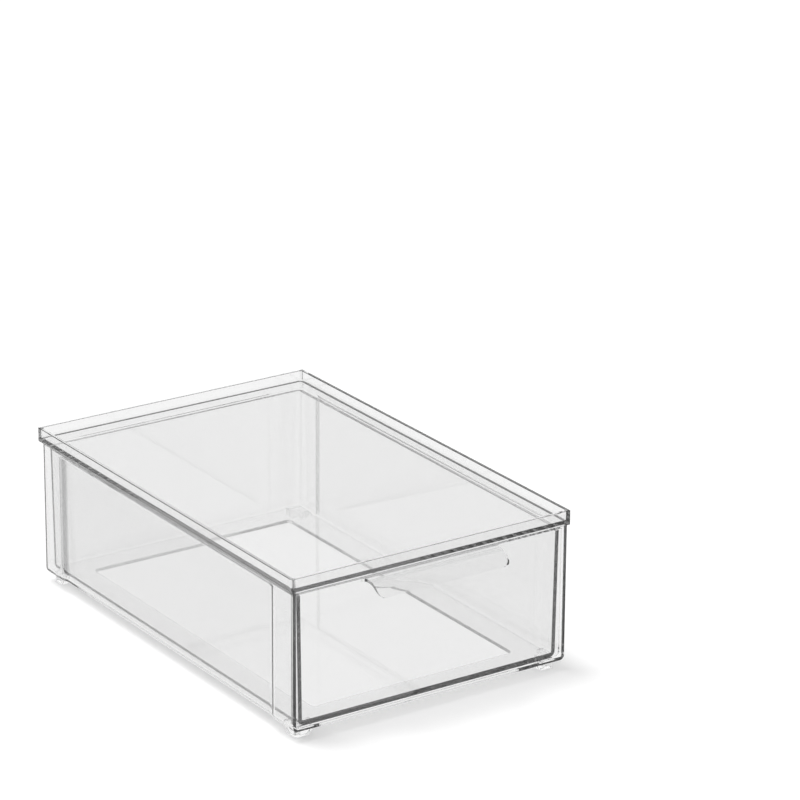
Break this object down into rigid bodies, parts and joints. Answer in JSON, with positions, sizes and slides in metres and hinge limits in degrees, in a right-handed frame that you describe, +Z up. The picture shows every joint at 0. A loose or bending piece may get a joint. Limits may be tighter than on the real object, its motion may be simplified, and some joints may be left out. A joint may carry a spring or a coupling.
{
  "type": "stackable drawer box",
  "caption": "Clear plastic box whose drawer, with a curled grip lip, slides out of an open-fronted case; a rimmed tray on top takes the feet of the next box.",
  "frame": {"origin": "middle of the footprint with the grip lip and the rim in it, at the height of the feet's soles", "axes": "+Z up, +X to the right seen from the front, -Y out of the front, the way the drawer opens"},
  "size_m": [0.203, 0.3168, 0.1063],
  "materials": {
    "case_plastic": "clear, moulded, polished",
    "tray_plastic": "clear, moulded, polished",
    "drawer_plastic": "clear, moulded, polished"
  },
  "bodies": {
    "case": {"case_body": "case_plastic", "top_tray": "tray_plastic"},
    "drawer": {"drawer": "drawer_plastic"}
  },
  "joints": [
    {"name": "drawer_slide", "type": "slide", "parent": "case", "child": "drawer", "axis": [0, -1, 0], "range_m": [0, 0.27]}
  ]
}
